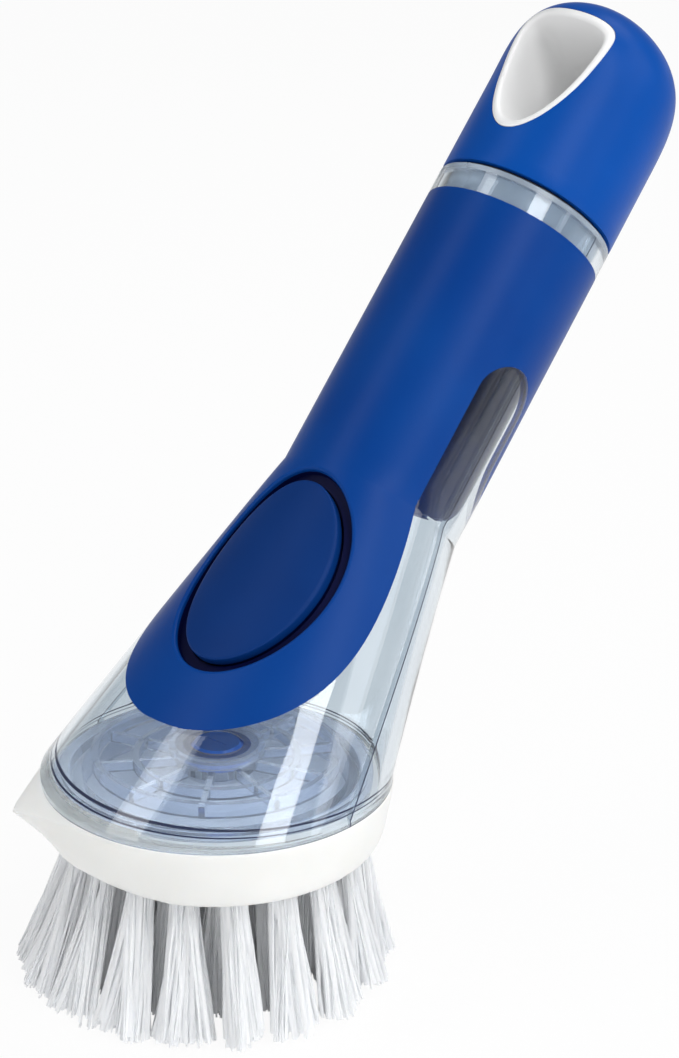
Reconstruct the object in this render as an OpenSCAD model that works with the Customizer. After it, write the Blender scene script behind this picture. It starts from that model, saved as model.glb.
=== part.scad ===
// Dish wand that holds its own soap.
// A clear bottle is the handle: it leans back from a round brush head, flares to the head's width and carries a
// soft grip, a press pad, and a screw cap with a hanging hole. The bristle tips stand on the plane Z = 0, the head's
// axis is Z, and the front, with the press pad, faces -Y.

/* [Brush head] */
// Diameter of the brush head and of the bottle's rim
rim_d = 70; // [66:0.5:76]
// Height of the brush head
head_h = 13.2; // [12.4:0.1:16]
// Radius of the rounded lower edge of the brush head
head_round = 6; // [3:0.5:6.5]
// Thickness of the floor that holds the tufts
head_floor = 6.4; // [5.8:0.1:7]
// How far the scraper beak stands out past the rim
beak_reach = 7.1; // [4:0.1:10]
// Radius of the beak's tip
beak_tip_r = 1.8; // [1.2:0.1:2.6]
// Angle from the front round to the beak
beak_turn = 29; // [0:1:60]
// Free length of the bristles
bristle_len = 29.3; // [22:0.1:36]
// Diameter of a tuft at its root
tuft_root_d = 3.4; // [2.8:0.1:3.8]
// Diameter of a tuft at its tip
tuft_tip_d = 8.8; // [6:0.1:9]
// How deep a tuft's socket is
socket_depth = 4.6; // [4:0.1:5]
// Outward lean of the outer ring of tufts
tuft_lean = 12.5; // [8:0.5:15]

/* [Bayonet and outlet] */
// Outer diameter of the spigot that the brush head turns on
spigot_d = 57; // [54:0.5:58]
// Wall of the spigot
spigot_wall = 2.2; // [1.6:0.1:3]
// How far the spigot reaches into the brush head
spigot_len = 6; // [5.4:0.1:6.2]
// How far each bayonet lug stands out of the spigot
lug_out = 1.2; // [0.8:0.1:1.6]
// Angle that the brush head turns through between locked and free
bayonet_turn = 36; // [24:1:44]
// Outer diameter of the outlet spout
spout_d = 9; // [7:0.5:11]
// Diameter of the soap's way through the spout
spout_bore = 4; // [3:0.5:5]
// Diameter of the blue valve
valve_d = 10.4; // [8:0.1:12]

/* [Bottle] */
// Diameter of the handle
handle_d = 39; // [36:0.5:42]
// Lean of the handle from the head's axis
lean = 43.7; // [40:0.1:47]
// How far the handle's axis passes behind the head's axis at the rim
axis_back = 3.5; // [2:0.1:5]
// Distance along the handle's axis from the rim's plane to the end of the flare
flare_len = 60.8; // [57:0.1:66]
// Height of the straight lip round the rim
rim_lip = 1.2; // [0.8:0.1:2]
// Angle at which the front wall leaves the rim
front_rise = 39; // [36:0.5:44]
// Angle at which the back wall leaves the rim
back_rise = 67; // [60:1:80]
// Half width of the flare that its side walls are drawn towards near the rim
side_pull = 33.3; // [31:0.1:35]
// Half width that they are drawn towards near the handle
side_settle = 24.1; // [22:0.1:26]
// Wall of the bottle
bottle_wall = 2.2; // [1.9:0.1:2.6]
// Distance along the axis from the rim's plane to the top of the bottle
bottle_top = 129.6; // [124:0.1:140]
// Height of the clear collar that the grip leaves bare
collar_h = 4.8; // [3:0.1:8]

/* [Grip] */
// Thickness of the soft grip
grip_t = 1.3; // [1:0.1:1.5]
// Width of the clear window on each side
window_w = 16.2; // [12:0.1:20]
// How far the window's middle lies in front of the handle's axis
window_fore = 0.7; // [0:0.1:2]
// Distance along the axis to the top of the window's arch
window_top = 96.9; // [88:0.1:106]
// Distance along the axis to the end of the rear tongue
rear_tongue = 66.5; // [62:0.1:76]
// Distance along the axis to the foot of the front tongue
front_tongue = -1; // [-2:0.1:3]

/* [Press pad] */
// Length of the press pad
pad_len = 42.4; // [36:0.1:44]
// Width of the press pad
pad_w = 26.8; // [22:0.1:28]
// Width of the dark groove round the pad
groove_w = 2.5; // [1.8:0.1:3]
// Thickness of the soft pad
pad_t = 2.2; // [1.8:0.1:2.6]
// Thickness of the stiff plate under the pad
pad_plate_t = 1.7; // [1.2:0.1:2]
// How far the pad travels when it is pressed
pad_travel = 2; // [1:0.1:2.5]
// Distance along the axis to the middle of the pad
pad_at = 35; // [33:0.1:38]
// Tilt of the pad from the handle's axis
pad_tilt = 5.2; // [3:0.1:8]

/* [Cap] */
// Length of the cap along the handle
cap_len = 45.5; // [43:0.1:52]
// Length of the cap's domed end
dome_len = 25; // [22:0.1:28]
// How far the dome's tip lies in front of the axis
dome_fore = 3.6; // [0:0.1:5]
// Wall of the cap
cap_wall = 1.8; // [1.4:0.1:2.2]
// Gap between the bottle and the cap, which shows the seal
cap_gap = 1; // [0.8:0.1:1.6]
// Thickness of the flange on top of the bottle
flange_t = 1.1; // [0.8:0.1:1.6]
// How far the filling neck stands inside the handle's surface
neck_step = 4.5; // [4.2:0.1:5.5]
// Wall of the filling neck
neck_wall = 2.4; // [2:0.1:3]
// Height of the neck above its flange
neck_h = 6.3; // [6:0.1:6.6]
// Pitch of the cap's thread
thread_pitch = 3; // [2.6:0.1:3.2]
// How far the thread stands out of the neck
thread_out = 0.9; // [0.6:0.1:1]
// Length of the hanging hole's mouth
hole_len = 30.7; // [26:0.1:32]
// Width of the hanging hole's mouth
hole_w = 23.4; // [18:0.1:26]
// Wall of the white liner in the hole
liner_wall = 1.9; // [1.4:0.1:2.4]
// Size of the hole's rear mouth as a share of its front mouth
hole_rear = 0.56; // [0.5:0.01:0.7]

/* [Clearances] */
// Radial clearance of parts that turn on each other
run_gap = 0.08; // [0.02:0.01:0.1]
// Clearance round parts that are seated or welded
fit_gap = 0.05; // [0.02:0.01:0.1]
// Clearance round parts that travel
move_gap = 0.3; // [0.2:0.05:0.4]

/* [Hidden] */
$fn = 96;

rim_r = rim_d / 2;
handle_r = handle_d / 2;
rim_z = bristle_len + head_h;
h_dir = [sin(lean), cos(lean)];
g_dir = [cos(lean), -sin(lean)];

// Stations along the flare, steps round a full ring, and the spare length by which a cutter passes what it cuts
flare_steps = 12;
ring_steps = 48;
half_step = 180 / ring_steps;
spare = 2;
wide = 3 * rim_d;

// Pulls of the four curve ends that draw the front and back walls of the flare in the plane of symmetry
front_pull = 12.8;
front_settle = 8.3;
back_pull = 4.6;
back_settle = 20.6;

// Bottle: points in the plane of symmetry are [y, z] above the rim's plane
function on_axis(s, g) = [axis_back, 0] + s * h_dir + g * g_dir;
function bezier(p, t) =
    pow(1 - t, 3) * p[0] + 3 * pow(1 - t, 2) * t * p[1] + 3 * (1 - t) * t * t * p[2] + pow(t, 3) * p[3];
function bezier_way(p, t) =
    3 * (pow(1 - t, 2) * (p[1] - p[0]) + 2 * (1 - t) * t * (p[2] - p[1]) + t * t * (p[3] - p[2]));
function unit(v) = v / norm(v);
function cross_of(a, b) = abs(a[0] * b[1] - a[1] * b[0]);

front_start = [-rim_r, rim_lip];
front_end = on_axis(flare_len, -handle_r);
front_line = [front_start, front_start + front_pull * [cos(front_rise), sin(front_rise)],
    front_end - front_settle * h_dir, front_end];
back_start = [rim_r, rim_lip];
back_end = on_axis(flare_len, handle_r);
back_line = [back_start, back_start + back_pull * [cos(back_rise), sin(back_rise)],
    back_end - back_settle * h_dir, back_end];
side_line = [rim_r, side_pull, side_settle, handle_r];

// A section is [front point, back point, half width], moved in by the depth i square to the walls
function flare(t, i) =
    let (f = bezier(front_line, t), b = bezier(back_line, t), u = unit(b - f))
    [f + u * i / cross_of(u, unit(bezier_way(front_line, t))),
        b - u * i / cross_of(u, unit(bezier_way(back_line, t))), bezier(side_line, t) - i];
function lip(i) =
    let (q = flare(0, i))
    [[q[0][0], 0], [q[1][0], 0], q[2]];
function straight(s, i) = [on_axis(s, i - handle_r), on_axis(s, handle_r - i), handle_r - i];
function sections(i, top) =
    concat([lip(i)], [for (k = [0:flare_steps]) flare(k / flare_steps, i)], [straight(top, i)]);
function section_point(q, a) =
    let (c = (q[0] + q[1]) / 2 - (q[1] - q[0]) / 2 * cos(a))
    [q[2] * sin(a), c[0], c[1]];

// A wall between two lists of sections, over a range of angles measured from the front
module wall_sheet(outer, inner, from, to) {
    turn = to - from;
    closed = turn == 360;
    n = round(ring_steps * turn / 360);
    m = closed ? n : n + 1;
    k = len(outer);
    points = [for (s = [outer, inner]) for (q = s) for (j = [0:m - 1]) section_point(q, from + turn * j / n)];
    function at(side, r, j) = side * k * m + r * m + j % m;
    skins = [for (side = [0, 1]) for (r = [0:k - 2]) for (j = [0:n - 1])
        let (a = at(side, r, j), b = at(side, r, j + 1), c = at(side, r + 1, j + 1), d = at(side, r + 1, j))
        each side == 0 ? [[a, c, b], [a, d, c]] : [[a, b, c], [a, c, d]]];
    ends = [for (r = [0, k - 1]) for (j = [0:n - 1])
        let (a = at(0, r, j), b = at(0, r, j + 1), c = at(1, r, j + 1), d = at(1, r, j))
        each r == 0 ? [[a, b, c], [a, c, d]] : [[a, c, b], [a, d, c]]];
    seams = closed ? [] : [for (j = [0, n]) for (r = [0:k - 2])
        let (a = at(0, r, j), b = at(0, r + 1, j), c = at(1, r + 1, j), d = at(1, r, j))
        each j == 0 ? [[a, c, b], [a, d, c]] : [[a, b, c], [a, c, d]]];
    translate([0, 0, rim_z])
        polyhedron(points = points, faces = concat(skins, ends, seams), convexity = 8);
}

// The bottle's wall between the depths i and j below its surface
module bottle_sheet(i, j, from, to, top) {
    wall_sheet(sections(i, top), sections(j, top), from, to);
}

// Frames: the handle's axis, s along it from the rim's plane, and the press pad's middle, its Z out of the surface
module on_handle(s) {
    translate([0, axis_back, rim_z]) rotate([-lean, 0, 0]) translate([0, 0, s]) children();
}
front_heights = [for (k = [0:60]) let (p = bezier(front_line, k / 60) - [axis_back, 0]) [p * h_dir, p * g_dir]];
pad_surface = on_axis(pad_at, lookup(pad_at, front_heights));
module on_pad() {
    translate([0, pad_surface[0], rim_z + pad_surface[1]]) rotate([90 - lean - pad_tilt, 0, 0]) children();
}

// Grip outline, drawn as [g, s] in the handle's plane of symmetry and pushed through the bottle from side to side
grip_top = bottle_top - collar_h;
window_r = window_w / 2;
window_front = -window_fore - window_r;
window_back = -window_fore + window_r;
tongue_waist = [4.7, 18];
tongue_spread = 16.7;
tongue_line = [[window_front, flare_len - 3], [window_front, flare_len / 2],
    [window_front - tongue_waist[0], tongue_waist[1]], [window_front - tongue_spread, front_tongue]];
tongue_foot = tongue_line[3];
rear_round = 13;
grip_outline = concat(
    [[-rim_d, grip_top], [-rim_d, tongue_foot[1] - rim_d / 2], tongue_foot - [rim_d / 4, rim_d / 4]],
    [for (k = [20:-1:0]) bezier(tongue_line, k / 20)],
    [for (a = [180:-10:0]) [-window_fore + window_r * cos(a), window_top - window_r + window_r * sin(a)]],
    [for (a = [0:10:90])
        [window_back + (handle_r - window_back) * (1 - cos(a)), rear_tongue + rear_round * (1 - sin(a))]],
    [[rim_d, rear_tongue], [rim_d, grip_top]]);
module grip_prism(grow) {
    on_handle(0) rotate([90, 0, 90]) translate([0, 0, -wide / 2]) linear_extrude(wide)
        polygon(grow == 0 ? grip_outline : grow_outline(grip_outline, grow));
}
// Moves the free edges of the outline out by a small clearance, square to each point's neighbours
function grow_outline(p, d) =
    let (n = len(p))
    [for (k = [0:n - 1])
        let (v = unit(p[(k + 1) % n] - p[(k + n - 1) % n])) p[k] + d * [v[1], -v[0]]];

// Press pad: every piece of it is an oval cut from a sheet that follows the bottle's surface
module oval(len, w, from, to) {
    on_pad() translate([0, 0, -from]) mirror([0, 0, 1]) linear_extrude(to - from)
        polygon([for (a = [0:6:354]) [w / 2 * cos(a), len / 2 * sin(a)]]);
}
opening_len = pad_len + 2 * groove_w;
opening_w = pad_w + 2 * groove_w;
frame_lap = 1.3;
frame_len = opening_len + 2 * frame_lap;
frame_w = opening_w + 2 * frame_lap;
pad_drop = 0.2;
plate_depth = pad_drop + pad_t;
frame_depth = plate_depth + pad_plate_t + move_gap;
bellows_t = 0.8;
oval_deep = 16;
pad_arc = 60;
pad_past = 10;
module pad_sheet(i, j) {
    bottle_sheet(i, j, -pad_arc, pad_arc, flare_len + pad_past);
}

// Cap and neck, by distances along the handle's axis
flange_top = bottle_top + flange_t;
cap_foot = flange_top + cap_gap;
cap_top = cap_foot + cap_len;
dome_foot = cap_top - dome_len;
neck_r = handle_r - neck_step;
neck_top = flange_top + neck_h;
gasket_t = 0.5;
plug_roof = neck_top + gasket_t;
plug_roof_t = 1.2;
plug_r = handle_r - cap_wall - fit_gap;
plug_bore = neck_r + thread_out + move_gap;
thread_t = 1;
thread_foot = cap_foot + 0.7;
thread_turns = (neck_top - thread_foot - thread_t - 0.3) / thread_pitch;

// The cap's sections: a straight foot, then a dome whose tip leans to the front
dome_steps = 11;
function dome_ring(u, i) =
    let (s = dome_foot + (dome_len - i) * sin(90 * u), x = (dome_len - i) * sin(90 * u) / dome_len,
        full = sin(90 * u))
    [s, (handle_r - i) * pow(max(0, 1 - pow(full, 3.8)), 0.58), dome_fore * x * x];
function cap_rings(i, foot) =
    concat([[foot, handle_r - i, 0]], [for (k = [0:dome_steps]) dome_ring(k / (dome_steps + 0.35), i)]);
module cap_solid(i, foot) {
    rings = cap_rings(i, foot);
    n = len(rings);
    m = ring_steps;
    points = [for (q = rings) for (j = [0:m - 1])
        [q[1] * sin(360 * j / m), -q[2] - q[1] * cos(360 * j / m), q[0]]];
    skin = [for (r = [0:n - 2]) for (j = [0:m - 1])
        let (a = r * m + j, b = r * m + (j + 1) % m, c = a + m, d = b + m) each [[a, d, b], [a, c, d]]];
    on_handle(0) polyhedron(points = points,
        faces = concat(skin, [[for (j = [0:m - 1]) j]], [[for (j = [m - 1:-1:0]) (n - 1) * m + j]]), convexity = 6);
}

// The hanging hole's outline: an egg, narrow towards the neck, as [x, s] about its middle
hole_foot = cap_foot + 7.9;
hole_mid = hole_foot + hole_len / 2;
function hole_outline(i) =
    [for (a = [0:12:348]) let (c = cos(a), s = sin(a), side = s < 0 ? -1 : 1)
        [side * (hole_w / 2 - i) * pow(abs(s), 0.62) * (0.93 - 0.36 * c), -(hole_len / 2 - i) * c]];
hole_rise = 4.6;
module hole_way(i) {
    front = hole_outline(i);
    back = hole_outline(0);
    m = len(front);
    deep = handle_r + spare;
    rear = hole_rear - i / (hole_w / 2);
    points = concat([for (p = front) [p[0], -deep, hole_mid + p[1]]],
        [for (p = back) [p[0] * rear, deep, hole_mid + hole_rise + p[1] * rear]]);
    on_handle(0) polyhedron(points = points,
        faces = concat([for (j = [0:m - 1]) let (b = (j + 1) % m) each [[j, b, m + b], [j, m + b, m + j]]],
            [[for (j = [m - 1:-1:0]) j]], [[for (j = [0:m - 1]) m + j]]), convexity = 4);
}

// Brush head
spigot_r = spigot_d / 2;
head_top = rim_z;
floor_top = bristle_len + head_floor;
beak_top_drop = 0.5;
nozzle_r = 11;
nozzle_t = 2.4;
lug_h = 1.8;
lug_wide = 12;
lug_foot = 0.3;
lug_low = rim_z - spigot_len + lug_foot;
groove_top = lug_low + lug_h + move_gap;
outlet_d = 2.4;
outlet_ring = 6.4;
tuft_r = tuft_root_d / 2;
anchor_t = 0.5;
anchor_h = 1.1;

// Each ring of tufts is [count, radius at the root, lean]; the lean falls with the radius
outer_root = rim_r - head_round - tuft_r;
ring_of_outer = [18, outer_root, tuft_lean];
ring_of_middle = [12, outer_root * 0.68, tuft_lean * 0.6];
ring_of_inner = [8, outer_root * 0.385, tuft_lean * 0.3];
ring_of_middle_most = [1, 0, 0];

// Places its children at each tuft's root on the underside of the head, with Z up into the socket
module at_tufts(ring) {
    for (k = [0:ring[0] - 1])
        rotate([0, 0, 360 * (k + 0.5) / ring[0]]) translate([0, -ring[1], bristle_len])
            rotate([-ring[2], 0, 0]) children();
}
module tufts(ring) {
    long = bristle_len / cos(ring[2]) + tuft_tip_d;
    widen = (tuft_tip_d - tuft_root_d) / 2 * long / bristle_len;
    difference() {
        at_tufts(ring) {
            translate([0, 0, -long]) cylinder(r1 = tuft_r + widen, r2 = tuft_r, h = long);
            cylinder(r = tuft_r, h = socket_depth - anchor_h);
        }
        translate([0, 0, -wide]) cylinder(r = wide, h = wide);
    }
}
module sockets(ring) {
    at_tufts(ring) translate([0, 0, -spare]) cylinder(r = tuft_r + fit_gap, h = socket_depth + spare);
}
module anchors(ring) {
    at_tufts(ring) translate([-tuft_r * 0.85, -anchor_t / 2, socket_depth - anchor_h])
        cube([tuft_r * 1.7, anchor_t, anchor_h]);
}

module head_body() {
    low = bristle_len;
    rotate_extrude() polygon(concat([[0, low], [rim_r - head_round, low]],
        [for (a = [-80:10:0])
            [rim_r - head_round + head_round * cos(a), low + head_round + head_round * sin(a)]],
        [[rim_r, head_top], [0, head_top]]));
    rotate([0, 0, -beak_turn]) hull() {
        translate([0, 0, low + head_round - 0.6])
            cylinder(r = rim_r - 0.1, h = head_h - head_round + 0.6 - beak_top_drop, $fn = 48);
        translate([0, -(rim_r + beak_reach - beak_tip_r), head_top - 3.6])
            cylinder(r = beak_tip_r, h = 2.4, $fn = 24);
    }
}

module brush_head() {
    color("white") difference() {
        head_body();
        translate([0, 0, floor_top]) cylinder(r = spigot_r + run_gap, h = head_h);
        // the groove that the lugs turn in, and the slots that let them in
        translate([0, 0, lug_low - move_gap])
            cylinder(r = spigot_r + lug_out + move_gap, h = groove_top - lug_low + move_gap);
        for (k = [0:2]) rotate([0, 0, 120 * k + bayonet_turn])
            translate([-lug_wide / 2 - move_gap, -spigot_r - lug_out - move_gap, lug_low - move_gap])
                cube([lug_wide + 2 * move_gap, 2 * lug_out + 2, head_h]);
        for (ring = [ring_of_outer, ring_of_middle, ring_of_inner, ring_of_middle_most]) sockets(ring);
        for (k = [0:3]) rotate([0, 0, 90 * k + 45]) translate([0, -outlet_ring, bristle_len - spare])
            cylinder(d = outlet_d, h = head_floor + 2 * spare, $fn = 32);
    }
}
module tufts_outer() {
    color("whitesmoke") tufts(ring_of_outer);
}
module tufts_middle() {
    color("gainsboro") tufts(ring_of_middle);
}
module tufts_inner() {
    color("whitesmoke") {
        tufts(ring_of_inner);
        tufts(ring_of_middle_most);
    }
}
module tuft_anchors() {
    color("goldenrod") for (ring = [ring_of_outer, ring_of_middle, ring_of_inner, ring_of_middle_most]) anchors(ring);
}

// A dish pressed on the head's floor: it takes the spout and spreads the soap to the four outlets
spout_foot = floor_top + 1.4;
chamber_h = 0.9;
seal_t = 1.1;
module soap_nozzle() {
    socket_r = spout_d / 2 + seal_t;
    color("white") translate([0, 0, floor_top]) difference() {
        union() {
            cylinder(r = nozzle_r, h = nozzle_t);
            cylinder(r = socket_r + 1.4, h = rim_z - 0.8 - floor_top);
        }
        translate([0, 0, -spare]) cylinder(r = outlet_ring + outlet_d, h = chamber_h + spare);
        translate([0, 0, chamber_h - 0.1]) cylinder(r = socket_r, h = head_h);
    }
}
module nozzle_seal() {
    color("dimgray") translate([0, 0, spout_foot + 0.6]) rotate_extrude()
        translate([spout_d / 2 + seal_t / 2, 0]) circle(d = seal_t - 2 * fit_gap, $fn = 32);
}

// Base plate: welded in the rim, with the spigot and its lugs below, ring walls and ribs above, and the outlet
plate_t = 2;
plate_r = rim_r - bottle_wall / sin(front_rise) - fit_gap;
plate_step_r = plate_r - (plate_t - rim_lip) / tan(front_rise) - fit_gap;
ring_wall_r = plate_step_r - 6;
hub_r = valve_d / 2 + 3;
rib_h = 2.2;
hub_h = 3.4;
rib_count = 10;
module ring(r, t, h) {
    difference() {
        cylinder(r = r, h = h);
        translate([0, 0, -spare]) cylinder(r = r - t, h = h + 2 * spare);
    }
}
module base_plate() {
    color("lightsteelblue", 0.5) translate([0, 0, rim_z]) difference() {
        union() {
            cylinder(r = plate_r, h = rim_lip);
            cylinder(r = plate_step_r, h = plate_t);
            ring(ring_wall_r, 1.4, plate_t + rib_h + 0.8);
            ring(ring_wall_r * 0.68, 1.4, plate_t + rib_h);
            cylinder(r = hub_r, h = plate_t + hub_h);
            for (k = [0:rib_count - 1]) rotate([0, 0, 360 * (k + 0.5) / rib_count])
                translate([hub_r - 1, -0.6, plate_t - 0.2]) cube([ring_wall_r - hub_r, 1.2, rib_h]);
            translate([0, 0, -spigot_len]) ring(spigot_r, spigot_wall, spigot_len + 0.2);
            for (k = [0:2]) rotate([0, 0, 120 * k]) translate([0, 0, lug_foot - spigot_len]) intersection() {
                ring(spigot_r + lug_out, lug_out + spigot_wall / 2, lug_h);
                translate([-lug_wide / 2, -rim_r, -spare]) cube([lug_wide, rim_r, lug_h + 2 * spare]);
            }
            translate([0, 0, spout_foot - rim_z]) cylinder(d = spout_d, h = rim_z - spout_foot + plate_t);
        }
        translate([0, 0, spout_foot - rim_z - spare]) cylinder(d = spout_bore, h = 4 * head_h, $fn = 48);
        translate([0, 0, plate_t + hub_h - valve_lip_t]) cylinder(r = valve_r + fit_gap, h = valve_lip_t + spare);
        translate([0, 0, plate_t + 0.4]) cylinder(r = valve_stem_r + fit_gap, h = hub_h + spare);
    }
}

// Valve: a slit silicone plug with a lip, clamped on the hub by a clear ring
valve_r = valve_d / 2 + 1.4;
valve_lip_t = 1;
valve_stem_r = valve_d / 2 - 1.2;
module valve() {
    color("mediumblue") translate([0, 0, rim_z + plate_t]) difference() {
        union() {
            translate([0, 0, 0.4]) cylinder(r = valve_stem_r, h = hub_h);
            translate([0, 0, hub_h - valve_lip_t]) cylinder(r = valve_r, h = valve_lip_t);
            translate([0, 0, hub_h - 0.1]) cylinder(r1 = valve_d / 2, r2 = valve_d / 2 - 0.8, h = 1.3);
        }
        translate([0, 0, -spare]) cylinder(d = spout_bore, h = hub_h - 0.6 + spare, $fn = 48);
        translate([-valve_d / 4, -0.1, 0]) cube([valve_d / 2, 0.2, 3 * hub_h]);
    }
}
module valve_ring() {
    color("lightsteelblue", 0.6) translate([0, 0, rim_z + plate_t + hub_h]) difference() {
        union() {
            cylinder(r = hub_r, h = 1);
            translate([0, 0, 1 - hub_h / 2]) ring(hub_r + 1.2 + fit_gap, 1.2, hub_h / 2);
        }
        translate([0, 0, -spare]) cylinder(r = valve_d / 2 + fit_gap, h = 2 * spare + 1);
    }
}

// Bottle: two welded shells, with the recess for the grip and the opening for the pad's frame
module front_recess() {
    intersection() {
        bottle_sheet(-spare, grip_t, -90 - half_step, 90 + half_step, grip_top + spare);
        grip_prism(0);
    }
}
// At the back the grip lies on the straight handle only
module rear_recess() {
    intersection() {
        on_handle(flare_len) difference() {
            cylinder(r = handle_r + spare, h = grip_top - flare_len + spare);
            translate([0, 0, -spare]) cylinder(r = handle_r - grip_t, h = bottle_top);
        }
        grip_prism(0);
    }
}
module front_shell() {
    color("lightsteelblue", 0.4) difference() {
        bottle_sheet(0, bottle_wall, -90, 90, bottle_top);
        front_recess();
        oval(frame_len + 2 * fit_gap, frame_w + 2 * fit_gap, -oval_deep, oval_deep);
    }
}
module rear_shell() {
    color("lightsteelblue", 0.4) difference() {
        bottle_sheet(0, bottle_wall, 90, 270, bottle_top);
        rear_recess();
    }
}
module grip() {
    color("royalblue") difference() {
        intersection() {
            bottle_sheet(0, grip_t - fit_gap, half_step, 360 + half_step, grip_top + spare);
            grip_prism(-fit_gap);
        }
        oval(opening_len, opening_w, -oval_deep, oval_deep);
    }
}

module pad_frame() {
    color("midnightblue") difference() {
        intersection() {
            pad_sheet(grip_t, frame_depth);
            oval(frame_len, frame_w, -oval_deep, oval_deep);
        }
        oval(pad_len + 2 * move_gap, pad_w + 2 * move_gap, -2 * oval_deep, 2 * oval_deep);
    }
}
module pad_bellows() {
    color("darkslateblue") intersection() {
        pad_sheet(frame_depth, frame_depth + bellows_t);
        oval(frame_len, frame_w, -oval_deep, oval_deep);
    }
}
module pad_plate() {
    color("navy") intersection() {
        pad_sheet(plate_depth, plate_depth + pad_plate_t);
        oval(pad_len - 1, pad_w - 1, -oval_deep, oval_deep);
    }
}
module press_pad() {
    color("mediumblue") intersection() {
        pad_sheet(pad_drop, plate_depth);
        oval(pad_len, pad_w, -oval_deep, oval_deep);
    }
}

// Filling neck: a skirt in the bottle's mouth, a flange on its top and a threaded spigot
skirt_len = 9;
neck_bore = neck_r - neck_wall;
// A screw thread as one swept ridge: a ring of four points at each step, pointed at both ends
module screw_ridge(r, out, foot, turns, pitch, thick) {
    steps = round(turns * 24);
    function ease(k) = min(1, min(k, steps - k) / 3);
    points = [for (k = [0:steps]) let (a = 360 * k * turns / steps, z = foot + pitch * turns * k / steps,
            e = max(0.05, ease(k)), lo = thick * (1 - e) / 2)
        each [[(r - 0.4) * cos(a), (r - 0.4) * sin(a), z + lo], [(r + out * e) * cos(a), (r + out * e) * sin(a),
            z + lo + thick * e * 0.3], [(r + out * e) * cos(a), (r + out * e) * sin(a), z + thick - lo
            - thick * e * 0.3], [(r - 0.4) * cos(a), (r - 0.4) * sin(a), z + thick - lo]]];
    sides = [for (k = [0:steps - 1]) for (j = [0:3])
        let (a = 4 * k + j, b = 4 * k + (j + 1) % 4) each [[a, b, b + 4], [a, b + 4, a + 4]]];
    polyhedron(points = points, faces = concat(sides, [[3, 2, 1, 0]],
        [[for (j = [0:3]) 4 * steps + j]]), convexity = 8);
}
module neck() {
    color("lightsteelblue", 0.5) on_handle(0) {
        difference() {
            union() {
                translate([0, 0, bottle_top - skirt_len])
                    cylinder(r = handle_r - bottle_wall - fit_gap, h = skirt_len + flange_t / 2);
                translate([0, 0, bottle_top]) cylinder(r = handle_r, h = flange_t);
                translate([0, 0, bottle_top]) cylinder(r = neck_r, h = neck_top - bottle_top);
                screw_ridge(neck_r, thread_out, thread_foot, thread_turns, thread_pitch, thread_t);
            }
            translate([0, 0, bottle_top - skirt_len - spare])
                cylinder(r = neck_bore, h = skirt_len + neck_h + flange_t + 2 * spare);
            translate([0, 0, bottle_top - skirt_len - spare]) cylinder(r1 = handle_r - bottle_wall + 0.2,
                r2 = neck_bore - 0.2, h = skirt_len / 2 + spare);
        }
    }
}
module cap_seal() {
    seal_r = (cap_gap - 0.2) / 2;
    color("black") on_handle(flange_top + cap_gap / 2) rotate_extrude() hull() {
        translate([handle_r - 1 - seal_r, 0]) circle(r = seal_r, $fn = 24);
        translate([neck_r + thread_out + move_gap + seal_r, 0]) circle(r = seal_r, $fn = 24);
    }
}
module neck_gasket() {
    color("dimgray") on_handle(neck_top + 0.05) ring(neck_r, neck_wall, gasket_t - 0.05);
}
// Threaded cup: two inner lugs ride over the neck's thread
catch_angle = 200;
catch_step = 20;
catch_wide = 1.8;
catch_h = 1.1;
catch_gap = 0.15;
plug_lift = 0.1;
module cap_plug() {
    lug_s = thread_foot + thread_pitch * catch_angle / 360 + thread_t + catch_gap;
    color("white") on_handle(0) union() {
        difference() {
            translate([0, 0, cap_foot + plug_lift])
                cylinder(r = plug_r, h = plug_roof + plug_roof_t - cap_foot - plug_lift);
            translate([0, 0, cap_foot - spare]) cylinder(r = plug_bore, h = plug_roof - cap_foot + spare);
        }
        for (k = [0, 1]) rotate([0, 0, catch_angle + catch_step * k])
            translate([neck_r + catch_gap, -catch_wide / 2, lug_s + k * thread_pitch * catch_step / 360])
                cube([plug_bore - neck_r + 0.2, catch_wide, catch_h]);
    }
}
module cap_shell() {
    color("royalblue") difference() {
        cap_solid(0, cap_foot);
        cap_solid(cap_wall, cap_foot + 8);
        on_handle(cap_foot - spare) cylinder(r = handle_r - cap_wall, h = plug_roof + plug_roof_t - cap_foot + spare);
        hole_way(-fit_gap);
    }
}
module hole_liner() {
    color("white") difference() {
        intersection() {
            cap_solid(0, cap_foot);
            hole_way(0);
        }
        hole_way(liner_wall);
    }
}

brush_head();
tufts_outer();
tufts_middle();
tufts_inner();
tuft_anchors();
soap_nozzle();
nozzle_seal();
base_plate();
valve();
valve_ring();
front_shell();
rear_shell();
grip();
pad_frame();
pad_bellows();
pad_plate();
press_pad();
neck();
cap_seal();
neck_gasket();
cap_plug();
cap_shell();
hole_liner();
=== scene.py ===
import math

import bmesh
import bpy
import numpy as np
from mathutils import Matrix, Vector


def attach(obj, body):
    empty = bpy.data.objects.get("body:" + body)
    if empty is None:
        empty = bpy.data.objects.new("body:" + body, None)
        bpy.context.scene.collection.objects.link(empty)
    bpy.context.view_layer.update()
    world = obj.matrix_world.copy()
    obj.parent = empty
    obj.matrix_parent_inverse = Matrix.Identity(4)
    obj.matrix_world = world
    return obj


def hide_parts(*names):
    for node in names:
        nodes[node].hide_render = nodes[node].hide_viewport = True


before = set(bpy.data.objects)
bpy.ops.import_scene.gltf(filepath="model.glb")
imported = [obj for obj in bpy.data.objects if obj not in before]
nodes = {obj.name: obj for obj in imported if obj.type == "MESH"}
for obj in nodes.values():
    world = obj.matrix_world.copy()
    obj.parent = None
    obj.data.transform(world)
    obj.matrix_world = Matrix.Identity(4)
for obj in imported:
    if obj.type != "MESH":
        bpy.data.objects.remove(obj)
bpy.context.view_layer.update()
mm = 0.001

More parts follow.
